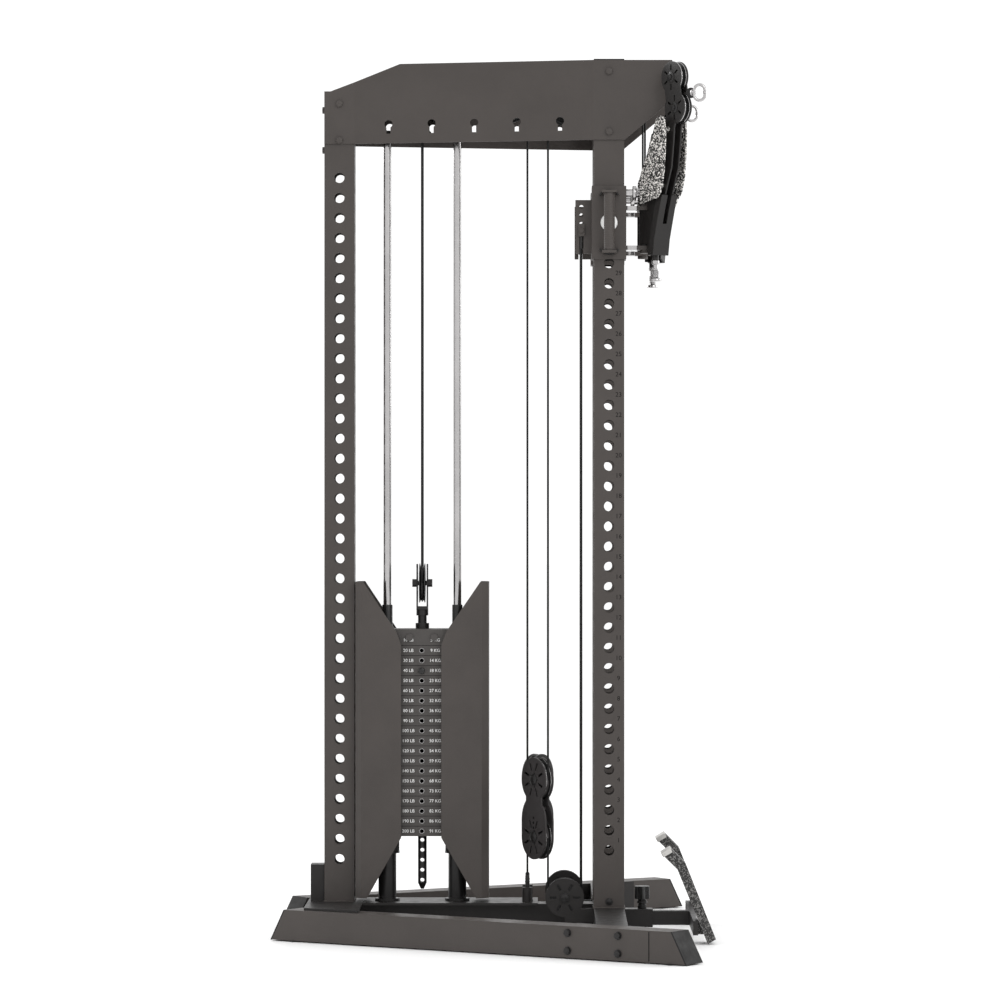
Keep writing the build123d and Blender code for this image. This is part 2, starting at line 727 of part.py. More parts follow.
link_len = math.hypot(LOW_U[0] - HEAD_U[0], LOW_U[1] - HEAD_U[1])
link_deg = math.degrees(math.atan2(LOW_U[1] - HEAD_U[1], LOW_U[0] - HEAD_U[0]))
leave = link_deg + math.degrees(math.asin((HEAD_R + ROLLER_R) / link_len)) - 90
start = (
    HEAD_U[0] + HEAD_R * math.cos(math.radians(leave)),
    HEAD_U[1] + HEAD_R * math.sin(math.radians(leave)),
)
finish = (
    LOW_U[0] - ROLLER_R * math.cos(math.radians(leave)),
    LOW_U[1] - ROLLER_R * math.sin(math.radians(leave)),
)
with BuildPart() as arm_cable:
    with BuildLine(Plane.XZ) as run:
        CenterArc(HEAD_U, HEAD_R, 180, 180 + leave)
        Line(start, finish)
        CenterArc(LOW_U, ROLLER_R, 180 + leave, -90 - leave)
        Line((LOW_U[0], LOW_U[1] + ROLLER_R), (181, LOW_U[1] + ROLLER_R))
    with BuildSketch(Plane(origin=run.line @ 0, z_dir=run.line % 0)):
        Circle(CABLE_R)
    sweep()

with BuildPart() as cheeks_one:
    for face in (-1, 1):
        low, high = sorted((face * 30, face * 34))
        add(upright_sheet(cheek_outline, low, high))
        for spot in ((88, 1858), (80, 1935), (112, 1995)):
            bar_y(spot[0], face * 12.5, face * 30, spot[1], 7)

head_wheel = wheel(HEAD_R, AXLE_R + 0.05, WHEEL_W)
roller = wheel(ROLLER_R, AXLE_R + 0.05, WHEEL_W)
NIP_Z = LOW_U[1] + ROLLER_R
HOOK_U = 203
with BuildPart() as cable_end:
    bar_x(183, 196, 0, NIP_Z, 13)
    chamfer(cable_end.edges().filter_by(GeomType.CIRCLE), 4)
    bar_x(195, HOOK_U, 0, NIP_Z, 6)
with BuildPart() as hook_ring:
    with BuildSketch(Plane.YZ):
        SlotOverall(46, 34, rotation=90)
        SlotOverall(30, 18, rotation=90, mode=Mode.SUBTRACT)
    extrude(amount=4, both=True)
for side, word in ((-1, "left"), (1, "right")):
    turn = 180 + ARM_TURN if side < 0 else -ARM_TURN
    place = Pos(side * FRONT_X, SWIVEL_Y, 0) * Rot(0, 0, turn)
    with BuildPart() as arm_frame:
        add(place * arm_one.part)
        add(place * arm_cable.part)
    save(arm_frame, "arm_frame_" + word)
    with BuildPart() as cheeks:
        add(place * cheeks_one.part)
    save(cheeks, "arm_cheeks_" + word)
    for spot, made, label in (
        (HEAD_U, head_wheel, "arm_pulley_"),
        (LOW_U, roller, "arm_roller_lower_"),
        (HIGH_U, roller, "arm_roller_upper_"),
    ):
        with BuildPart() as arm_wheel:
            add(place * across(made, spot[0], 0, spot[1], 90))
        save(arm_wheel, label + word)
    tip = place * Pos(HOOK_U, 0, 0)
    with BuildPart() as snap_hook:
        add(place * cable_end.part)
        add(Pos(tip.position.X, tip.position.Y - 13, NIP_Z) * hook_ring.part)
    save(snap_hook, "snap_hook_" + word)

# ------------------------------------------------------- low foot-plate slide
FOOT_PLATE_X = (222, 302)
plate_side = (
    (-526.6, 2),
    (-546.6, 13.5),
    (-473.3, 197.5),
    (-436.6, 234.6),
    (-414.3, 221.4),
    (-452.6, 184),
)
with BuildPart() as extension_tube:
    half = TUBE / 2
    block(-half, half, -503, -275, TUBE_Z - half, TUBE_Z + half)
    block(-half + WALL, half - WALL, -490, -270, TUBE_Z - half + WALL, TUBE_Z + half - WALL, Mode.SUBTRACT)
    block(-FOOT_PLATE_X[1], FOOT_PLATE_X[1], -503, -491, TUBE_Z - half, TUBE_Z + half)
    block(-5.5, 5.5, -378.5, -260, TUBE_Z + 10, TUBE_Z + 30, Mode.SUBTRACT)
save(extension_tube, "extension_tube")

with BuildPart() as foot_plates:
    for side in (-1, 1):
        low, high = sorted((side * FOOT_PLATE_X[0], side * FOOT_PLATE_X[1]))
        with BuildSketch(Plane.YZ.offset(low)):
            with BuildLine():
                Polyline(*plate_side, close=True)
            make_face()
        extrude(amount=high - low)
        with BuildSketch(Plane.YZ.offset(low + 25)):
            with BuildLine():
                Polyline((-520, 24), (-503, 24), (-503, 58), (-508, 58), close=True)
            make_face()
        extrude(amount=high - low - 50)
save(foot_plates, "foot_plates")

with BuildPart() as extension_knob:
    bar_z(0, -373, 50, 88, 5)
    bar_z(0, -373, TUBE_Z + RECEIVER / 2 + 0.5, 88, 11)
    with BuildSketch(Plane.XY.offset(88)):
        with Locations((0, -373)):
            Circle(17)
            with PolarLocations(15, 6):
                Circle(6)
    extrude(amount=32)
save(extension_knob, "extension_knob")

# ------------------------------------------------- rubber, caps and fasteners
with BuildPart() as pads_and_caps:
    add(foot_caps_one.part)
    add(mirror(foot_caps_one.part, about=Plane.YZ))
    for side in (-1, 1):
        for share in (0.05, 0.955):
            spot_x = side * -(FOOT_REAR[0] + share * foot_dx)
            spot_y = FOOT_REAR[1] + share * foot_dy
            turn = foot_deg if side < 0 else 180 - foot_deg
            with Locations((-spot_x, spot_y, PAD / 2)):
                Box(70, 60, PAD, rotation=(0, 0, turn))
        block(side * FRONT_X - POST / 2, side * FRONT_X + POST / 2, cross_front, cross_rear, TOP_Z, TOP_Z + 3)
    block(-POST / 2, POST / 2, REAR_Y - POST / 2, REAR_Y + POST / 2, REAR_TOP, REAR_TOP + 3)
    for y in ROD_Y:
        bar_z(0, y, STAND_TOP, STACK_LOW, 30)
        bar_z(0, y, STAND_TOP - 1, STACK_LOW + 1, ROD_R, Mode.SUBTRACT)
save(pads_and_caps, "pads_and_caps")

HEAD = 7
with BuildPart() as frame_bolts:
    for side in (-1, 1):
        out = side * (POST / 2 + SKIN)
        for z in (2074, 1983):
            bar_x(out, out + side * HEAD, REAR_Y, z, 10)
        out = side * (FRONT_X + POST / 2 + SKIN)
        for z in (2143, 1994):
            bar_x(out, out + side * HEAD, FRONT_Y, z, 10)
        out = side * (FRONT_X + POST / 2)
        bar_x(out, out + side * HEAD, FRONT_Y, 94, 9)
        outward = (inward[0] * side, -inward[1])
        for along in (-70, 70):
            base_x = -side * (flange_mid[0] + along * foot_dir[0])
            base_y = flange_mid[1] + along * foot_dir[1]
            turn = math.degrees(math.atan2(outward[1], outward[0]))
            for z in (PAD + 17, PAD + 59):
                spot = (base_x + outward[0] * (POST / 2 + HEAD / 2), base_y + outward[1] * (POST / 2 + HEAD / 2), z)
                with Locations(Location(spot, (0, 0, turn))):
                    Cylinder(10, HEAD, rotation=(0, 90, 0))
    for z in (2061, 1961):
        bar_y(0, REAR_Y + POST / 2, REAR_Y + POST / 2 + HEAD, z, 10)
save(frame_bolts, "frame_bolts")
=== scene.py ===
import json
import math

import bmesh
import bpy
from mathutils import Matrix, Vector


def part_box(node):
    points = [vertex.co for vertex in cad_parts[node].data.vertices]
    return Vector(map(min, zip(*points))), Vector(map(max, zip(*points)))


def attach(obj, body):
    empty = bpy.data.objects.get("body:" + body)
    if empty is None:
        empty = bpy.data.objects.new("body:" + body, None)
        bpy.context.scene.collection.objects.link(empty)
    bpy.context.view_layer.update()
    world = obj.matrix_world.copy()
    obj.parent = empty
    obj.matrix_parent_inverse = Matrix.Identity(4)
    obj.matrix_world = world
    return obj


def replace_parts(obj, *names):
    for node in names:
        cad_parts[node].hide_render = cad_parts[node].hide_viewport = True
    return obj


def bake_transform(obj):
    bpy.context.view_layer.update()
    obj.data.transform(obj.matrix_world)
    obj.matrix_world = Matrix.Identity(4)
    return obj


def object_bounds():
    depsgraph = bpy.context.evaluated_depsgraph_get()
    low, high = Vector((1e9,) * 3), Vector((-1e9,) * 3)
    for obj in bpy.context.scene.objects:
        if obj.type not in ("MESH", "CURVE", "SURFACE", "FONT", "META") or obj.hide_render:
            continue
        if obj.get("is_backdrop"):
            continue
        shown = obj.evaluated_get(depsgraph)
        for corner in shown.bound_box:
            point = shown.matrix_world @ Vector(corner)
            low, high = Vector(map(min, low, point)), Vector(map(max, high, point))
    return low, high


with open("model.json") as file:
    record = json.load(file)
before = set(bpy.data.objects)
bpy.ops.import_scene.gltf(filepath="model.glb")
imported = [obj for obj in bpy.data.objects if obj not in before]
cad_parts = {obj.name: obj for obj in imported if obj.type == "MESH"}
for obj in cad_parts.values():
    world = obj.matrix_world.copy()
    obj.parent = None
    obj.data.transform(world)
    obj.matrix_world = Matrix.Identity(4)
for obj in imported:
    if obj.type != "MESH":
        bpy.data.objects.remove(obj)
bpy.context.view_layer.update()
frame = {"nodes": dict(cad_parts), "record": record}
MM = 0.001
SIDES = (("left", -1), ("right", 1))
UP = Vector((0, 0, 1))
LINE_LIFT = 0.05 * MM
nodes = frame["nodes"]
behaviour = frame["record"]["behaviour"]
slot_of = {part["node"]: part["material_slot"] for part in frame["record"]["subparts"]}
body_of = {}
for body_name, members in behaviour["bodies"].items():
    for member in members:
        body_of[member] = body_name
axis_of = {}
for joint in behaviour["joints"]:
    axis_of[joint["child"]] = Vector(joint["axis"]).normalized()

# Lines of the machine that several fittings share, in metres: the front uprights, the swivel axis of
# the arms, the cable's line between the rollers, and where it stops on the hook.
FRONT_X = 0.125
FRONT_Y = -0.288
SWIVEL_Y = -0.3775
NIP_Z = 2.079
HOOK_REACH = 0.203


# ----------------------------------------------------------------- materials
class Graph:
    def __init__(self, name):
        self.material = bpy.data.materials.new(name)
        self.material.use_nodes = True
        self.tree = self.material.node_tree
        self.shader = self.tree.nodes["Principled BSDF"]
        self.coords = self.add("ShaderNodeTexCoord").outputs["Object"]

    def add(self, kind, **values):
        node = self.tree.nodes.new(kind)
        for key, value in values.items():
            setattr(node, key, value)
        return node

    def link(self, source, target):
        self.tree.links.new(source, target)

    def noise(self, scale, detail=2.0, rough=0.5):
        node = self.add("ShaderNodeTexNoise")
        node.inputs["Scale"].default_value = scale
        node.inputs["Detail"].default_value = detail
        node.inputs["Roughness"].default_value = rough
        self.link(self.coords, node.inputs["Vector"])
        return node.outputs["Fac"]

    def ramp(self, source, low, high, low_value, high_value):
        node = self.add("ShaderNodeMapRange")
        node.inputs["From Min"].default_value = low
        node.inputs["From Max"].default_value = high
        node.inputs["To Min"].default_value = low_value
        node.inputs["To Max"].default_value = high_value
        self.link(source, node.inputs["Value"])
        return node.outputs["Result"]

    def mix(self, factor, first, second):
        node = self.add("ShaderNodeMix", data_type="RGBA")
        self.link(factor, node.inputs["Factor"])
        for name, value in (("A", first), ("B", second)):
            socket = [s for s in node.inputs if s.name == name and s.type == "RGBA"][0]
            if hasattr(value, "is_output"):
                self.link(value, socket)
            else:
                socket.default_value = (*value, 1)
        return [s for s in node.outputs if s.type == "RGBA"][0]

    def bump(self, height, strength, distance, normal=None):
        node = self.add("ShaderNodeBump")
        node.inputs["Strength"].default_value = strength
        node.inputs["Distance"].default_value = distance
        self.link(height, node.inputs["Height"])
        if normal is not None:
            self.link(normal, node.inputs["Normal"])
        return node.outputs["Normal"]

    def edge(self, radius):
        node = self.add("ShaderNodeBevel", samples=4)
        node.inputs["Radius"].default_value = radius
        return node.outputs["Normal"]


def tinted(colour, factor):
    return tuple(min(1.0, c * factor) for c in colour)


def coat(name, colour, rough, grain, bump, edge=0.0012, metal=0.0, spread=0.1, edge_highlight=0.0, shine=0.5):
    """Painted, moulded or plated finish: broad tone drift, fine grain, uneven gloss, softened edges, and,
    where edge_highlight is given, a painted highlight that lightens the edges in patches.
    """
    g = Graph(name)
    broad = g.noise(5.5, 4.0, 0.6)
    fine = g.noise(grain, 2.0, 0.55)
    shade = g.mix(g.ramp(broad, 0.3, 0.7, 0, 1), tinted(colour, 1 - spread), tinted(colour, 1 + spread))
    shade = g.mix(g.ramp(fine, 0.56, 0.74, 0, 0.55), shade, tinted(colour, 1.45))
    gloss = g.noise(38, 3.0, 0.6)
    normal = None
    if edge:
        normal = g.edge(edge)
        # Painted highlight: where the rounded edge normal turns away from the true normal, the colour is
        # lightened in patches, as if the edges caught the light.
        if edge_highlight:
            flat = g.add("ShaderNodeNewGeometry").outputs["Normal"]
            dot = g.add("ShaderNodeVectorMath", operation="DOT_PRODUCT")
            g.link(normal, dot.inputs[0])
            g.link(flat, dot.inputs[1])
            patch = g.ramp(g.noise(60, 3.0), 0.4, 0.65, 0.25, 1)
            edge_highlight_mask = g.add("ShaderNodeMath", operation="MULTIPLY")
            g.link(g.ramp(dot.outputs["Value"], 1.0, 0.8, 0, edge_highlight), edge_highlight_mask.inputs[0])
            g.link(patch, edge_highlight_mask.inputs[1])
            shade = g.mix(edge_highlight_mask.outputs[0], shade, tinted(colour, 2.6))
    g.link(shade, g.shader.inputs["Base Color"])
    g.link(g.ramp(gloss, 0.3, 0.7, rough * 0.85, rough * 1.15), g.shader.inputs["Roughness"])
    g.link(g.bump(fine, bump, 0.0002, normal), g.shader.inputs["Normal"])
    g.shader.inputs["Metallic"].default_value = metal
    g.shader.inputs["Specular IOR Level"].default_value = shine
    return g.material


def speckled(name, dark, light, scale, share):
    """Raised grip film: light flecks over a dark ground, with a fine diamond relief."""
    g = Graph(name)
    cells = g.add("ShaderNodeTexVoronoi")
    cells.inputs["Scale"].default_value = scale
    g.link(g.coords, cells.inputs["Vector"])
    pick = g.add("ShaderNodeSeparateColor")
    g.link(cells.outputs["Color"], pick.inputs[0])
    fleck = g.ramp(pick.outputs[0], 1 - share, 1 - share + 0.12, 0, 1)
    shade = g.mix(fleck, dark, light)
    dull = g.mix(g.ramp(g.noise(24, 3.0), 0.35, 0.7, 0, 0.2), shade, tinted(dark, 1.4))
    g.link(dull, g.shader.inputs["Base Color"])
    g.link(g.ramp(fleck, 0, 1, 0.62, 0.38), g.shader.inputs["Roughness"])
    g.link(g.bump(cells.outputs["Distance"], 0.55, 0.0009, g.edge(0.0014)), g.shader.inputs["Normal"])
    return g.material


finish = {
    "frame_paint": coat(
        "warm_grey_powder_coat", (0.056, 0.0485, 0.0445), 0.44, 900, 0.22, edge_highlight=0.25, shine=0.3
    ),
    "dark_paint": coat("dark_powder_coat", (0.017, 0.0155, 0.015), 0.4, 900, 0.2, edge_highlight=0.3, shine=0.28),
    "bright_steel": coat("polished_chrome", (0.46, 0.45, 0.45), 0.16, 320, 0.04, metal=1.0, spread=0.12),
    "black_steel": coat(
        "black_oxide", (0.017, 0.016, 0.016), 0.34, 500, 0.12, 0.0007, 0.3, edge_highlight=0.35, shine=0.4
    ),
    "plate_steel": coat(
        "cast_plate", (0.062, 0.057, 0.054), 0.5, 700, 0.35, 0.0011, 0.1, edge_highlight=0.4, shine=0.3
    ),
    "cable": coat("cable_jacket", (0.005, 0.005, 0.005), 0.42, 800, 0.06, 0.0, shine=0.2),
    "black_plastic": coat("moulded_nylon", (0.01, 0.01, 0.01), 0.3, 620, 0.16, 0.0008, shine=0.4),
    "rubber": coat("black_rubber", (0.016, 0.0155, 0.0155), 0.7, 520, 0.4, 0.001, shine=0.25),
    "tread": speckled("grip_film", (0.007, 0.0065, 0.006), (0.9, 0.87, 0.83), 400, 0.4),
}
numbers_white = coat("printed_white", (0.85, 0.85, 0.84), 0.55, 700, 0.05, 0.0)
# Black for print and seams, also used as painted shade for the gaps between weight plates and for the
# holes in the floating block's plates.
print_and_shade_black = coat("print_and_painted_shade_black", (0.003, 0.003, 0.003), 0.6, 700, 0.05, 0.0, shine=0.1)
# Painted highlight: the light grey colour of the foot plate caps stands in for the glossy highlight along
# the plates' rounded top ends.
painted_highlight_cap = coat("end_cap_painted_highlight", (0.5, 0.49, 0.47), 0.5, 500, 0.15, 0.001)
block_paint = coat("block_powder_coat", (0.036, 0.033, 0.033), 0.4, 900, 0.2, edge_highlight=0.3, shine=0.28)
dark_grip = speckled("dark_grip_film", (0.014, 0.0135, 0.013), (0.17, 0.165, 0.16), 380, 0.4)

for name, obj in nodes.items():
    if not obj.material_slots:
        obj.data.materials.append(None)
    for holder in obj.material_slots:
        holder.link = "OBJECT"
        if name == "foot_plates":
            holder.material = dark_grip
        elif name.startswith("float_frame"):
            holder.material = block_paint
        else:
            holder.material = finish[slot_of[name]]


# ------------------------------------------------------------------ builders
def aimed(centre, axis):
    return Matrix.Translation(centre) @ Vector(axis).to_track_quat("Z", "Y").to_matrix().to_4x4()


def skin(bm, rings, steps, closed):
    """Joins rings of vertices with quads; the two ends are closed with a face or with each other."""
    pairs = list(zip(rings, rings[1:]))
    if closed:
        pairs.append((rings[-1], rings[0]))
    for low, high in pairs:
        for i in range(steps):
            j = (i + 1) % steps
            bm.faces.new((low[i], low[j], high[j], high[i]))
    if not closed:
        bm.faces.new(list(reversed(rings[0])))
        bm.faces.new(rings[-1])


def lathe(bm, profile, place, steps=48):
    """Turns a closed profile of (radius, height) in millimetres about the placement's Z."""
    rings = []
    for radius, height in profile:
        ring = []
        for i in range(steps):
            a = 2 * math.pi * i / steps
            spot = Vector((radius * math.cos(a) * MM, radius * math.sin(a) * MM, height * MM))
            ring.append(bm.verts.new(place @ spot))
        rings.append(ring)
    skin(bm, rings, steps, True)


def tube(bm, points, radii, steps=16, closed=False):
    """Round bar along a row of points, in metres, with one radius or one for each point."""
    count = len(points)
    rings = []
    side = None
    for n, point in enumerate(points):
        ahead = points[(n + 1) % count] if closed else points[min(n + 1, count - 1)]
        back = points[n - 1] if closed else points[max(n - 1, 0)]
        along = (ahead - back).normalized()
        if side is None:
            side = along.orthogonal().normalized()
        side = (side - along * side.dot(along)).normalized()
        up = along.cross(side)
        radius = radii[n] if isinstance(radii, (list, tuple)) else radii
        ring = []
        for i in range(steps):
            a = 2 * math.pi * i / steps
            ring.append(bm.verts.new(point + (side * math.cos(a) + up * math.sin(a)) * radius))
        rings.append(ring)
    skin(bm, rings, steps, closed)


def prism(bm, outline, low, high, place, bevel=0.0):
    """Extrudes a flat outline from low to high along the placement's own Z."""
    count = len(outline)
    base = [bm.verts.new(place @ Vector((x * MM, y * MM, low * MM))) for x, y in outline]
    top = [bm.verts.new(place @ Vector((x * MM, y * MM, high * MM))) for x, y in outline]
    made = [bm.faces.new(list(reversed(base))), bm.faces.new(top)]
    for i in range(count):
        j = (i + 1) % count
        made.append(bm.faces.new((base[i], base[j], top[j], top[i])))
    if bevel:
        edges = list({e for f in made[:2] for e in f.edges})
        bmesh.ops.bevel(bm, geom=edges, offset=bevel * MM, segments=2, affect="EDGES", profile=0.7)


def rounded(width, height, radius, steps=5):
    """Outline of a rectangle with round corners."""
    points = []
    for cx, cy, start in ((1, 1, 0), (-1, 1, 90), (-1, -1, 180), (1, -1, 270)):
        for k in range(steps + 1):
            a = math.radians(start + 90 * k / steps)
            x = cx * (width / 2 - radius) + radius * math.cos(a)
            points.append((x, cy * (height / 2 - radius) + radius * math.sin(a)))
    return points


def ngon(radius, count, turn=0.0):
    angles = [2 * math.pi * k / count + turn for k in range(count)]
    return [(radius * math.cos(a), radius * math.sin(a)) for a in angles]


def piece(name, bm, body, slot, material=None, angle=32):
    """Makes a finished object of a bmesh and lets it ride on a body."""
    bmesh.ops.recalc_face_normals(bm, faces=bm.faces)
    for face in bm.faces:
        face.smooth = True
    for edge in bm.edges:
        edge.smooth = len(edge.link_faces) == 2 and edge.calc_face_angle(0) < math.radians(angle)
    mesh = bpy.data.meshes.new(name)
    bm.to_mesh(mesh)
    bm.free()
    mesh.materials.append(material or finish[slot])
    obj = bpy.data.objects.new(name, mesh)
    bpy.context.scene.collection.objects.link(obj)
    if body:
        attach(obj, body)
    return obj


def centre_of(node):
    low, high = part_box(node)
    return (low + high) / 2


def arm_frame_of(word, side):
    """Point on the floor under an arm's swivel axis, and the direction in which the arm points."""
    out = axis_of["arm_pulley_" + word].cross(UP)
    return Vector((side * FRONT_X, SWIVEL_Y, 0)), out if out.x * side > 0 else -out


# -------------------------------------------------------------------- wheels
WIDTH = 15.0
BORE = 8.05
CAP_OFFSET = 12.5
NUT_OFFSET = 16


def wheel_profile(rim):
    half = WIDTH / 2
    root = rim - 7.8
    side = [
        (rim, 5.9),
        (rim, 6.9),
        (rim - 0.7, half),
        (rim - 4.6, half),
        (rim - 6.2, 6.6),
        (rim - 7.4, 4.4),
        (18.0, 4.0),
        (16.6, 6.4),
        (15.8, 7.3),
        (12.4, half),
        (12.2, 6.4),
        (BORE, 6.4),
    ]
    low = [(r, -h) for r, h in reversed(side)]
    groove = [
        (rim - 0.9, -5.4),
        (root + 2.4, -4.0),
        (root + 0.5, -2.5),
        (root, 0),
        (root + 0.5, 2.5),
        (root + 2.4, 4.0),
        (rim - 0.9, 5.4),
    ]
    return side + low + groove


def add_wheel(bm, bearing, centre, axis, rim, ribs=8):
    place = aimed(centre, axis)
    lathe(bm, wheel_profile(rim), place, 64)
    inner, outer = 17.2, rim - 6.4
    for face in (1, -1):
        for k in range(ribs):
            turn = place @ Matrix.Rotation(2 * math.pi * (k + 0.5) / ribs, 4, "Z")
            middle = (inner + outer) / 2
            spot = turn @ Matrix.Translation(Vector((middle, 0, 0)) * MM)
            low, high = sorted((face * 3.6, face * 6.2))
            prism(bm, rounded(outer - inner, 3.4, 1.0, 2), low, high, spot)
        ring = [(12.0, face * 5.8), (12.0, face * 6.9), (10.6, face * 6.9), (10.3, face * 6.5)]
        ring += [(BORE + 1.2, face * 6.5), (BORE + 1.0, face * 7.0)]
        ring += [(BORE, face * 7.0), (BORE, face * 5.8)]
        lathe(bearing, ring, place, 40)


def wheels(node, centres, rim, ribs=8):
    """Draws the wheels of a node in place of it; those of arms and blocks have bright rims."""
    bm = bmesh.new()
    bearing = bmesh.new()
    for centre in centres:
        add_wheel(bm, bearing, centre, axis_of[node], rim, ribs)
        if "arm" in node or "float" in node:
            for face in (1, -1):
                ring = [(rim - 3.6, 7.3), (rim - 3.6, 7.7), (rim - 0.5, 7.7), (rim + 0.25, 7.0)]
                ring += [(rim + 0.25, 5.8), (rim - 0.6, 5.5), (rim - 0.6, 7.0)]
                lathe(bearing, [(r, h * face) for r, h in ring], aimed(centre, axis_of[node]), 64)
    body = body_of[node]
    made = piece(node + "_wheel", bm, body, "black_plastic")
    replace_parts(made, node)
    piece(node + "_bearing", bearing, body, "bright_steel")


for node in ("top_pulleys_swivel", "top_pulleys_front", "top_pulleys_middle", "top_pulleys_stack"):
    low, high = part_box(node)
    y, z = (low.y + high.y) / 2, (low.z + high.z) / 2
    inset = WIDTH / 2 * MM
    pair = (Vector((low.x + inset, y, z)), Vector((high.x - inset, y, z)))
    wheels(node, pair, (high.z - low.z) / 2 / MM)
single = ["stack_pulley"]
for word in ("left", "right"):
    single += ["base_pulley_" + word, "float_pulley_upper_" + word, "float_pulley_lower_" + word]
    single += ["arm_pulley_" + word, "arm_roller_lower_" + word, "arm_roller_upper_" + word]
for node in single:
    low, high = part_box(node)
    wheels(node, (centre_of(node),), (high.z - low.z) / 2 / MM, 6 if "arm" in node else 8)


# ---------------------------------------------------- bolt heads and axle ends
def bolt_head(bm, base, axis, radius, height):
    """Hexagon head with a low dome, on a washer."""
    place = aimed(base, axis)
    washer = [(0.5, 0), (radius, 0), (radius, 1.0), (radius - 0.4, 1.4), (0.5, 1.4)]
    lathe(bm, washer, place, 40)
    prism(bm, ngon(radius * 0.86, 6, 0.3), 1.3, height, place, 0.5)
    dome = [(0.5, height), (radius * 0.62, height - 0.01), (radius * 0.55, height + 0.25)]
    lathe(bm, dome + [(0.5, height + 0.3)], place, 32)


def islands(node):
    """Centre, outward axis, its span along that axis and radius of each separate disc in a node."""
    bm = bmesh.new()
    bm.from_mesh(nodes[node].data)
    bmesh.ops.remove_doubles(bm, verts=bm.verts, dist=1e-5)
    left = set(bm.verts)
    found = []
    while left:
        stack = [left.pop()]
        group = set(stack)
        while stack:
            for edge in stack.pop().link_edges:
                for vert in edge.verts:
                    if vert not in group:
                        group.add(vert)
                        stack.append(vert)
        left -= group
        faces = {f for v in group for f in v.link_faces}
        weights = {}
        for face in faces:
            key = tuple(round(c, 2) + 0.0 for c in face.normal)
            weights[key] = weights.get(key, 0) + face.calc_area()
        centre = sum((v.co for v in group), Vector()) / len(group)
        axis = Vector(max(weights, key=weights.get)).normalized()
        if axis.dot(Vector((centre.x, centre.y, 0))) < 0:
            axis = -axis
        spans = [(v.co - centre).dot(axis) for v in group]
        across = [((v.co - centre) - axis * (v.co - centre).dot(axis)).length for v in group]
        found.append((centre, axis, min(spans), max(spans), max(across)))
    bm.free()
    return sorted(found, key=lambda item: tuple(round(c, 4) for c in item[0]))


painted = bmesh.new()
dark = bmesh.new()
for centre, axis, low, high, radius in islands("frame_bolts"):
    chosen = painted if centre.z > 1.0 else dark
    bolt_head(chosen, centre + axis * low, axis, radius / MM, (high - low) / MM - 0.3)
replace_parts(piece("top_bolt_heads", painted, body_of["frame_bolts"], "frame_paint"), "frame_bolts")
piece("foot_bolt_heads", dark, body_of["frame_bolts"], "black_steel")

for word in ("left", "right"):
    caps = bmesh.new()
    for level in ("upper", "lower"):
        node = "float_pulley_%s_%s" % (level, word)
        for face in (1, -1):
            axis = axis_of[node] * face
            base = centre_of(node) + axis * CAP_OFFSET * MM
            place = aimed(base, axis)
            ring = [(0.5, 0), (14.5, 0), (14.5, 1.4), (12.6, 2.6), (8.6, 3.0), (8.0, 4.2), (0.5, 4.4)]
            lathe(caps, ring, place, 48)
            for k in range(5):
                spot = place @ Matrix.Rotation(2 * math.pi * k / 5, 4, "Z")
                prism(caps, [(8, -2.6), (19, -1.3), (19, 1.3), (8, 2.6)], 0.0, 1.6, spot)
    piece("float_axle_caps_" + word, caps, "float_" + word, "black_steel")
    # Painted shade: flat black discs stand for the dark insides of the holes in the block's side plates.
    hole_shade_dots = bmesh.new()
    axis = axis_of["float_pulley_lower_" + word]
    for face in (1, -1):
        for rise in (24, 36, 48):
            base = centre_of("float_pulley_lower_" + word) + axis * face * CAP_OFFSET * MM
            dot = [(0.5, 0), (3.4, 0), (3.4, 0.15), (0.5, 0.15)]
            lathe(hole_shade_dots, dot, aimed(base + Vector((0, 0, rise * MM)), axis * face), 24)
    piece("float_plate_hole_shade_" + word, hole_shade_dots, "float_" + word, "black_plastic", print_and_shade_black)
    caps = bmesh.new()
    for node in ("arm_pulley_", "arm_roller_lower_", "arm_roller_upper_"):
        for face in (1, -1):
            axis = axis_of[node + word] * face
            base = centre_of(node + word) + axis * CAP_OFFSET * MM
            ring = [(0.5, 0), (13.5, 0), (13.5, 1.2), (11.5, 2.2), (0.5, 2.4)]
            lathe(caps, ring, aimed(base, axis), 48)
            prism(caps, ngon(7.5, 6), 2.0, 5.2, aimed(base, axis), 0.6)
    piece("arm_axle_caps_" + word, caps, "arm_" + word, "black_steel")
    caps = bmesh.new()
    for face in (1, -1):
        axis = axis_of["base_pulley_" + word] * face
        base = centre_of("base_pulley_" + word) + axis * NUT_OFFSET * MM
        bolt_head(caps, base, axis, 12, 6)
    piece("base_axle_nuts_" + word, caps, "frame", "black_steel")


# -------------------------------------------------------------------- cables
CABLE = 2.5 * MM


def strand(name, spots, z_a, z_b, replaced):
    """Straight cable runs from one height to another at each given spot, drawn in place of a node."""
    bm = bmesh.new()
    for x, y in spots:
        tube(bm, [Vector((x, y, z_a)), Vector((x, y, z_b))], CABLE, 20)
    made = piece(name, bm, None, "cable")
    x = sum(s[0] for s in spots) / len(spots)
    y = sum(s[1] for s in spots) / len(spots)
    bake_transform(made)
    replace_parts(made, replaced)


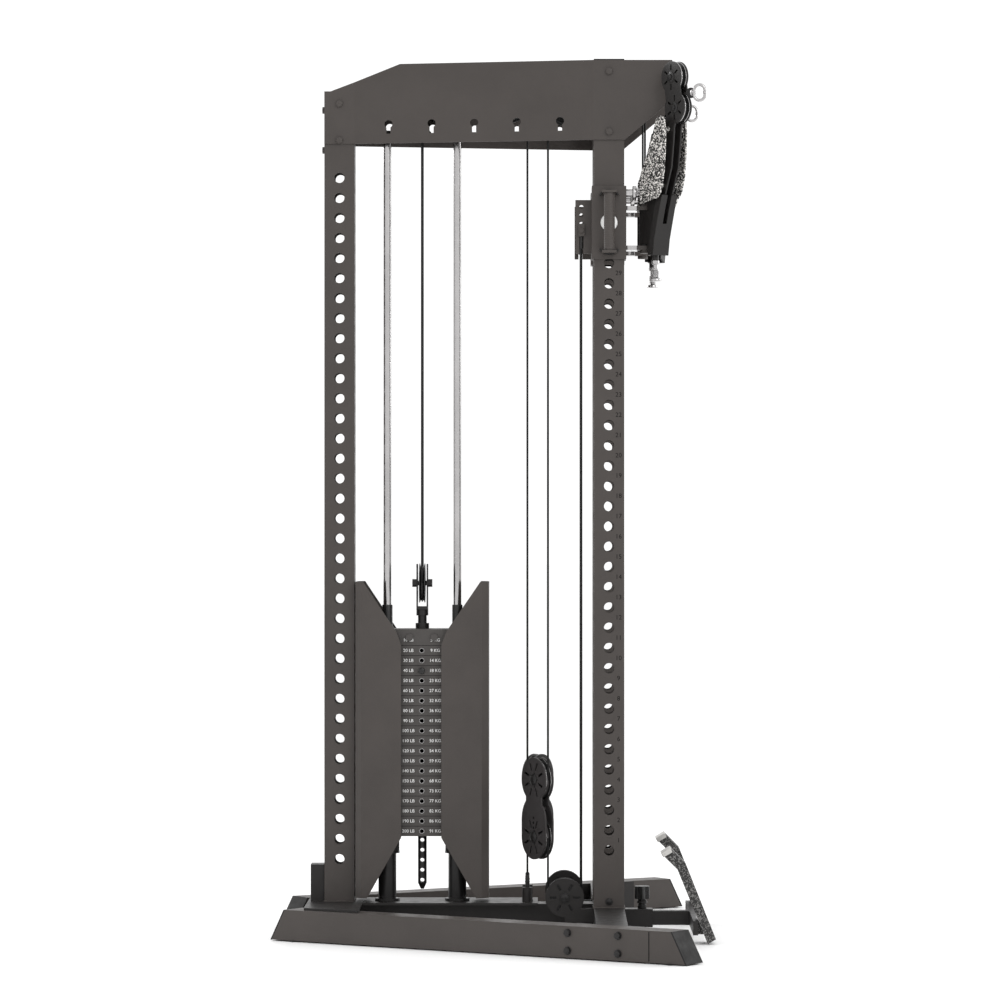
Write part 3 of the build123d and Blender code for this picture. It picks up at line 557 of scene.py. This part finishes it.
for word in ("left", "right"):
    node = "swivel_strand_" + word
    low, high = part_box(node)
    strand("swivel_run_" + word, (centre_of(node).xy,), high.z, low.z, node)
    node = "trolley_strand_" + word
    low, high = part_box(node)
    strand("trolley_run_" + word, (centre_of(node).xy,), low.z, high.z, node)
    for level in ("upper", "lower"):
        node = "float_%s_strands_%s" % (level, word)
        low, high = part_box(node)
        near, far = (low.x + CABLE, high.x - CABLE) if word == "left" else (high.x - CABLE, low.x + CABLE)
        spots = ((near, low.y + CABLE), (far, high.y - CABLE))
        name = "float_%s_run_%s" % (level, word)
        if level == "upper":
            strand(name, spots, high.z, low.z, node)
        else:
            strand(name, spots, low.z, high.z, node)
low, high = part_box("stack_strands")
y = (low.y + high.y) / 2
spots = ((low.x + CABLE, y), (high.x - CABLE, y))
strand("stack_run", spots, high.z, low.z, "stack_strands")

for word, side in SIDES:
    pivot, out = arm_frame_of(word, side)
    first = pivot + out * 0.1785 + Vector((0, 0, NIP_Z))
    last = pivot + out * 0.1865 + Vector((0, 0, NIP_Z))
    bm = bmesh.new()
    tube(bm, [first, last], CABLE * 1.03, 20)
    made = piece("pull_run_" + word, bm, None, "cable")
    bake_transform(made)


# ---------------------------------------------------- hooks and cable fittings
def snap_hook(bm, gate, centre, side):
    """A spring snap hook whose loop stands in the plane of Z and the side direction."""

    def at(x, z):
        return centre + side * x * MM + UP * z * MM

    loop = []
    for k in range(21):
        a = math.radians(180 * k / 20)
        loop.append(at(13 * math.cos(a), 6 + 13 * math.sin(a)))
    for k in range(21):
        a = math.radians(180 + 180 * k / 20)
        loop.append(at(13 * math.cos(a), -6 + 13 * math.sin(a)))
    tube(bm, loop + [at(13, -4)], 3.8 * MM, 16)
    tube(gate, [at(13, -5), at(13, 7)], 3.0 * MM, 16)
    lathe(gate, [(2.9, -3), (4.6, -3), (4.6, 4), (2.9, 4)], aimed(at(13, 0), UP), 24)


for word, side in SIDES:
    pivot, out = arm_frame_of(word, side)
    stop = bmesh.new()
    place = aimed(pivot + out * 0.183 + Vector((0, 0, NIP_Z)), out)
    ball = [(2.6, 0), (7.5, 0.1)]
    for k in range(9):
        a = math.radians(-50 + 100 * k / 8)
        ball.append((6 + 7 * math.cos(a), 6.5 + 8 * math.sin(a)))
    ball += [(7.5, 12.9), (2.6, 13)]
    lathe(stop, ball, place, 48)
    shown = piece("cable_stop_" + word, stop, "hook_" + word, "rubber")
    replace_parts(shown, "snap_hook_" + word)
    metal = bmesh.new()
    sleeve = bmesh.new()
    ferrule = [(2.6, 12.5), (8.4, 12.5), (8.4, 14), (6.0, 15), (5.6, 17), (5.6, 20)]
    ferrule += [(0.5, 20.5), (0.5, 12.5)]
    lathe(metal, ferrule, place, 32)
    tip = pivot + out * HOOK_REACH + Vector((0, -0.013, NIP_Z))
    snap_hook(metal, sleeve, tip, Vector((0, -1, 0)))
    piece("front_hook_" + word, metal, "hook_" + word, "bright_steel")
    piece("front_hook_gate_" + word, sleeve, "hook_" + word, "bright_steel")
    metal = bmesh.new()
    sleeve = bmesh.new()
    foot = pivot + out * 0.044 + Vector((0, 0, 1.670))
    place = aimed(foot, (0, 0, -1))
    collar = [(0.5, -6), (9.6, -6), (9.6, 1), (8.2, 3), (5.6, 4), (5.6, 14), (7.8, 15), (7.8, 18)]
    collar += [(4, 19), (0.5, 19)]
    lathe(metal, collar, place, 32)
    coils = []
    for k in range(97):
        a = 2 * math.pi * k / 16
        drop = -0.0185 - 0.0165 * k / 96
        coils.append(foot + Vector((math.cos(a) * 0.0078, math.sin(a) * 0.0078, drop)))
    tube(metal, coils, 0.0011, 8)
    knob = [(0.5, 18), (5, 18), (5, 36), (13.5, 38.5), (14.5, 40.5), (14.5, 43), (13, 45), (0.5, 46)]
    lathe(sleeve, knob, place, 40)
    piece("hanger_pin_" + word, metal, "arm_" + word, "bright_steel")
    piece("hanger_knob_" + word, sleeve, "arm_" + word, "bright_steel")

fittings = bmesh.new()
for word in ("left", "right"):
    low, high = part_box("float_lower_strands_" + word)
    inner = high.x - CABLE if word == "left" else low.x + CABLE
    place = aimed(Vector((inner, high.y - CABLE, low.z)), (0, 0, 1))
    ring = [(2.55, 18), (5.4, 18), (5.4, 30), (6.2, 31), (6.2, 34), (5.4, 35), (5.4, 47)]
    lathe(fittings, ring + [(4.2, 49), (2.55, 49)], place, 32)
piece("anchor_sleeves", fittings, "frame", "black_steel")
for word in ("left", "right"):
    low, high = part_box("trolley_strand_" + word)
    sleeves = bmesh.new()
    place = aimed(Vector(((low.x + high.x) / 2, (low.y + high.y) / 2, high.z)), (0, 0, -1))
    ring = [(2.55, 1), (5.0, 1), (5.0, 12), (5.6, 13), (5.6, 16), (5.0, 17), (5.0, 29)]
    lathe(sleeves, ring + [(3.8, 31), (2.55, 31)], place, 32)
    piece("trolley_cable_sleeve_" + word, sleeves, "trolley_" + word, "black_steel")


# ---------------------------------------------------------- seams on the feet
FOOT_REAR = (0.1555, 0.5262)
FOOT_FRONT = (0.8045, -0.4781)
FOOT_HALF = 0.0375
SEAM_Y = -0.392
seams = bmesh.new()
for word, side in SIDES:
    low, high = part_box("foot_" + word)
    rear = Vector((side * FOOT_REAR[0], FOOT_REAR[1], 0))
    front = Vector((side * FOOT_FRONT[0], FOOT_FRONT[1], 0))
    run = (front - rear).normalized()
    outward = Vector((-run.y * side, run.x * side, 0))
    outward = outward if outward.x * side > 0 else -outward
    spot = rear + run * ((SEAM_Y - rear.y) / run.y) + outward * FOOT_HALF
    tube(seams, [spot + UP * (low.z + 0.003), spot + UP * (high.z - 0.003)], 0.0011, 8)
piece("foot_seams", seams, "frame", "frame_paint", print_and_shade_black)


# ------------------------------------------------------- weld beads and grips
def bead(bm, corners, radius=2.6, ripple=2.6):
    """A rippled weld seam along a closed run of straight edges."""
    points = []
    count = len(corners)
    for n in range(count):
        start, end = corners[n], corners[(n + 1) % count]
        steps = max(2, round((end - start).length / (ripple * MM / 3)))
        for k in range(steps):
            points.append(start.lerp(end, k / steps))
    radii = [(radius + 0.45 * math.sin(k * 2.1)) * MM for k in range(len(points))]
    tube(bm, points, radii, 8, True)


def arc_strip(bm, place, radius, start, end, thick, low, high, steps=18):
    """A curved strip, as cut from a tube wall, standing from low to high along the placement's Z."""
    outer = []
    inner = []
    for k in range(steps + 1):
        a = math.radians(start + (end - start) * k / steps)
        outer.append((radius * math.cos(a), radius * math.sin(a)))
        inner.append(((radius - thick) * math.cos(a), (radius - thick) * math.sin(a)))
    prism(bm, outer + list(reversed(inner)), low, high, place, 0.4)


welds = bmesh.new()
for node in ("rear_upright", "front_upright_left", "front_upright_right"):
    low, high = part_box(node)
    square = [(low.x, low.y), (high.x, low.y), (high.x, high.y), (low.x, high.y)]
    bead(welds, [Vector((x, y, low.z)) for x, y in square])
piece("weld_beads", welds, "frame", "frame_paint")

SLEEVE_HALF = 0.0425
LUG_Y = (-0.3305 - 0.3575) / 2
LUG_HEIGHTS = (1.807, 1.709)
for word, side in SIDES:
    low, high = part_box("trolley_" + word)
    outer = low.x if side < 0 else high.x
    middle = (low.z + high.z) / 2
    face = side * (FRONT_X + SLEEVE_HALF)
    grip = bmesh.new()
    spot = Vector((outer - side * 0.013, FRONT_Y, middle))
    profile = [(13.02, -69), (13.5, -68)]
    for k in range(24):
        profile += [(13.5, -66 + k * 5.6), (13.5, -63 + k * 5.6), (13.25, -62.6 + k * 5.6)]
    profile += [(13.5, 68), (13.02, 69)]
    lathe(grip, profile, aimed(spot, (0, 0, 1)), 48)
    piece("trolley_grip_" + word, grip, "trolley_" + word, "frame_paint")
    # Painted shade: the saddles take the black finish so that they show as dark as their shading makes
    # them, not in the frame's own paint.
    saddles_painted_shade = bmesh.new()
    turn = Matrix((Vector((0, -1, 0)), Vector((0, 0, 1)), Vector((-1, 0, 0)))).transposed().to_4x4()
    for z, start, end in ((middle + 0.052, 32, 148), (middle - 0.052, 212, 328)):
        place = Matrix.Translation(Vector((face, FRONT_Y, z))) @ turn
        first, last = (0.1, 17) if side < 0 else (-17, -0.1)
        arc_strip(saddles_painted_shade, place, 29, start, end, 4, first, last)
    piece("trolley_saddles_" + word, saddles_painted_shade, "trolley_" + word, "black_steel")
    disc = bmesh.new()
    place = aimed(Vector((side * 0.1634, FRONT_Y, middle)), (side, 0, 0))
    lathe(disc, [(12.4, 0), (21.3, 0), (21.3, 2.2), (20.4, 3), (13.4, 3), (12.4, 2.2)], place, 56)
    piece("trolley_window_ring_" + word, disc, "trolley_" + word, "black_plastic", numbers_white)
    lugs = bmesh.new()
    for z in LUG_HEIGHTS:
        centre = Vector((side * FRONT_X, LUG_Y, z))
        prism(lugs, rounded(40.6, 26.6, 1.2), -5.3, 5.3, Matrix.Translation(centre), 0.8)
    piece("trolley_lug_faces_" + word, lugs, "trolley_" + word, "bright_steel")
    knob_low, knob_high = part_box("lock_pin_" + word)
    knob = bmesh.new()
    centre = Vector(((knob_low.x + knob_high.x) / 2, knob_low.y, (knob_low.z + knob_high.z) / 2))
    rim = [(0.5, -0.3), (7, -0.6), (10.6, 0.2), (11.6, 2), (11.6, 7.5), (17.3, 8.6), (18.0, 10)]
    rim += [(18.0, 16.4), (17.2, 17.6), (10.5, 18.4), (0.5, 18.4)]
    lathe(knob, rim, aimed(centre, (0, 1, 0)), 48)
    piece("lock_pin_knob_" + word, knob, "lock_pin_" + word, "bright_steel")

ROD_SPACING = 0.175
bushes = bmesh.new()
stack_low, stack_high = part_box("top_weight_plates")
stack_y = (stack_low.y + stack_high.y) / 2
for offset in (-ROD_SPACING / 2, ROD_SPACING / 2):
    place = aimed(Vector((0, stack_y + offset, stack_high.z)), (0, 0, 1))
    ring = [(10.25, 0), (17, 0), (17, 4), (13.4, 5), (13.0, 8), (13.0, 58), (12.2, 60), (10.25, 60)]
    lathe(bushes, ring, place, 48)
piece("guide_bushes", bushes, "stack", "black_plastic")

pin_low, pin_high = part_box("selector_pin")
pin_at = centre_of("selector_pin")
pin = bmesh.new()
place = aimed(Vector((pin_low.x, pin_at.y, pin_at.z)), (1, 0, 0))
grip_profile = [(0.5, 0.2), (4.4, 0.5), (7.0, 1.8), (8.0, 4), (8.0, 9), (6.6, 14), (6.6, 20), (8.0, 24)]
grip_profile += [(8.0, 27), (7.4, 28.4), (0.5, 28.6)]
lathe(pin, grip_profile, place, 48)
shown = piece("selector_pin_handle", pin, "selector_pin", "black_plastic")
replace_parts(shown, "selector_pin")
shaft = bmesh.new()
place = aimed(Vector((pin_high.x, pin_at.y, pin_at.z)), (-1, 0, 0))
length = (pin_high.x - pin_low.x) / MM - 28
lathe(shaft, [(0.5, 0), (3.4, 0), (4.5, 1.4), (4.5, length), (0.5, length)], place, 32)
piece("selector_pin_shaft", shaft, "selector_pin", "bright_steel")


# --------------------------------------------------------- knob and foot caps
knob_at = centre_of("extension_knob")
knob_at.z = 0
star = []
for k in range(72):
    a = 2 * math.pi * k / 72
    radius = 18.3 + 2.6 * math.cos(6 * a)
    star.append((radius * math.cos(a), radius * math.sin(a)))
bm = bmesh.new()
upright = aimed(knob_at, UP)
prism(bm, star, 88, 119.6, upright, 2.2)
lathe(bm, [(0.5, 119.5), (9, 119.5), (9, 119.9), (0.5, 119.9)], upright, 40)
shown = piece("star_knob", bm, "extension_knob", "black_plastic")
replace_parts(shown, "extension_knob")
bm = bmesh.new()
post = [(0.5, 50), (4.6, 50), (5, 51), (5, 64), (11, 64), (11, 72), (9.4, 73), (9.4, 76), (12.6, 77)]
post += [(12.6, 83), (10.2, 84), (10.2, 88), (0.5, 88)]
lathe(bm, post, upright, 40)
piece("star_knob_post", bm, "extension_knob", "black_steel")

BRACE_WIDTH = 80.0
foot_low, foot_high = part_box("foot_plates")
# The two upper corners of a foot plate's side view.
top_a = Vector((0, -0.4366, 0.2346))
top_b = Vector((0, -0.4143, 0.2214))
along = (top_b - top_a).normalized()
normal = Vector((1, 0, 0)).cross(along).normalized()
normal = normal if normal.z > 0 else -normal
caps = bmesh.new()
for side in (-1, 1):
    mid = (top_a + top_b) / 2
    mid.x = (foot_low.x + BRACE_WIDTH / 2 * MM) if side < 0 else (foot_high.x - BRACE_WIDTH / 2 * MM)
    turn = Matrix((Vector((1, 0, 0)), along, normal)).transposed().to_4x4()
    place = Matrix.Translation(mid) @ turn
    outline = rounded(BRACE_WIDTH + 1.2, (top_b - top_a).length / MM + 1.2, 3)
    prism(caps, outline, -9, 2.2, place, 0.8)
# The caps take the light grey that paints their highlight.
piece("foot_plate_caps", caps, "extension", "black_plastic", painted_highlight_cap)


# -------------------------------------------------------------- plain numbers
def write(bm, text, size, centre, right):
    """Flat upright letters as a mesh, reading along the right direction."""
    curve = bpy.data.curves.new("number", "FONT")
    curve.body = text
    curve.size = size * MM
    curve.align_x = "CENTER"
    curve.align_y = "CENTER"
    curve.resolution_u = 3
    holder = bpy.data.objects.new("number", curve)
    bpy.context.scene.collection.objects.link(holder)
    mesh = bpy.data.meshes.new_from_object(holder)
    turn = Matrix((right, UP, right.cross(UP))).transposed().to_4x4()
    mesh.transform(Matrix.Translation(centre) @ turn)
    bm.from_mesh(mesh)
    bpy.data.meshes.remove(mesh)
    bpy.data.objects.remove(holder)
    bpy.data.curves.remove(curve)


HOLE_COUNT = 32
FIRST_HOLE = 220
HOLE_PITCH = 50
marks = bmesh.new()
for word, side in SIDES:
    low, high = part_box("front_upright_" + word)
    face = (low.x - LINE_LIFT) if side < 0 else (high.x + LINE_LIFT)
    right = Vector((0, side, 0))
    for k in range(HOLE_COUNT):
        z = (FIRST_HOLE + HOLE_PITCH * (k + 0.5)) * MM
        write(marks, str(k + 1), 16, Vector((face, (low.y + high.y) / 2 - 0.0235, z)), right)
piece("hole_numbers", marks, "frame", "black_plastic", print_and_shade_black)

kilos = (5, 9, 14, 18, 23, 27, 32, 36, 41, 45, 50, 54, 59, 64, 68, 73, 77, 82, 86, 91)
thick = 0.025
# Marks on the plates that the pin lifts, and on those that stay down.
picked = bmesh.new()
resting = bmesh.new()
rings = (bmesh.new(), bmesh.new())
# Painted shade: thin black lines at the plate joints stand for the shadow in the gaps between plates.
gap_shade = (bmesh.new(), bmesh.new())
low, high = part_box("lower_weight_plates")
last = len(kilos) - 1
count_low = round((high.z - low.z) / thick)
top_plate_z = low.z + last * thick
for n, kilo in enumerate(kilos):
    z = top_plate_z + 0.0135 if n == 0 else top_plate_z - (n - 0.5) * thick
    target = resting if n > last - count_low else picked
    for side in (-1, 1):
        face = side * (high.x + LINE_LIFT)
        right = Vector((0, side, 0))
        for text, shift in ((str(kilo) + " KG", 1), (str((n + 1) * 10) + " LB", -1)):
            write(target, text, 11, Vector((face, stack_y + side * shift * 0.0335, z)), right)
    if n:
        for side in (-1, 1):
            place = aimed(Vector((side * high.x, stack_y, z)), (side, 0, 0))
            ring = [(5.05, 0), (6.3, 0), (6.3, 0.3), (5.05, 0.3)]
            lathe(rings[target is resting], ring, place, 32)
            # Painted shade line along the gap above this plate.
            edge = Vector((side * high.x, stack_y, z + thick / 2))
            corners = [edge + Vector((0, y, 0)) for y in (-0.1145, 0.1145)]
            tube(gap_shade[target is resting], corners, 0.00055, 6)
piece("plate_numbers_top", picked, "stack", "black_plastic", numbers_white)
piece("plate_numbers_low", resting, "frame", "black_plastic", numbers_white)
for part, body, name in ((0, "stack", "top"), (1, "frame", "low")):
    piece("pin_hole_rings_" + name, rings[part], body, "bright_steel")
    piece("plate_gap_shade_" + name, gap_shade[part], body, "black_plastic", print_and_shade_black)


# ------------------------------------------------------- floor, light, camera
bm = bmesh.new()
bmesh.ops.create_grid(bm, x_segments=8, y_segments=8, size=90)
mesh = bpy.data.meshes.new("floor")
bm.to_mesh(mesh)
bm.free()
floor_graph = Graph("pale_floor")
drift = floor_graph.ramp(floor_graph.noise(3), 0.3, 0.7, 0, 1)
tone = floor_graph.mix(drift, (0.93, 0.93, 0.93), (0.95, 0.95, 0.95))
floor_graph.link(tone, floor_graph.shader.inputs["Base Color"])
floor_graph.shader.inputs["Roughness"].default_value = 0.55
mesh.materials.append(floor_graph.material)
floor = bpy.data.objects.new("floor", mesh)
bpy.context.scene.collection.objects.link(floor)
floor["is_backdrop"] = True

world = bpy.data.worlds.new("studio")
world.use_nodes = True
world.node_tree.nodes["Background"].inputs["Color"].default_value = (1, 1, 1, 1)
world.node_tree.nodes["Background"].inputs["Strength"].default_value = 1.1
bpy.context.scene.world = world
bpy.context.scene.view_settings.view_transform = "Standard"


def softbox(name, spot, target, size, power):
    data = bpy.data.lights.new(name, "AREA")
    data.shape = "RECTANGLE"
    data.size, data.size_y = size
    data.energy = power
    lamp = bpy.data.objects.new(name, data)
    bpy.context.scene.collection.objects.link(lamp)
    lamp.location = spot
    lamp.rotation_euler = (Vector(target) - Vector(spot)).to_track_quat("-Z", "Y").to_euler()


softbox("key", (-4.5, -3.0, 4.2), (0, 0, 1.0), (2.4, 3.0), 60)
softbox("rim", (2.5, 4.0, 3.5), (0, 0, 1.2), (2.0, 2.5), 90)
softbox("front", (1.5, -5.0, 2.6), (0, 0, 1.0), (2.2, 2.6), 70)

camera_data = bpy.data.cameras.new("camera")
camera_data.sensor_width = 36
camera_data.lens = 164.7
camera_data.shift_x = -0.041
camera_data.shift_y = 0.0175
camera_data.clip_end = 300
camera = bpy.data.objects.new("camera", camera_data)
bpy.context.scene.collection.objects.link(camera)
camera.location = (-11.453, -0.120, 1.042)
camera.rotation_euler = (math.radians(90), 0, math.radians(-90))
bpy.context.scene.camera = camera

low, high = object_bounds()
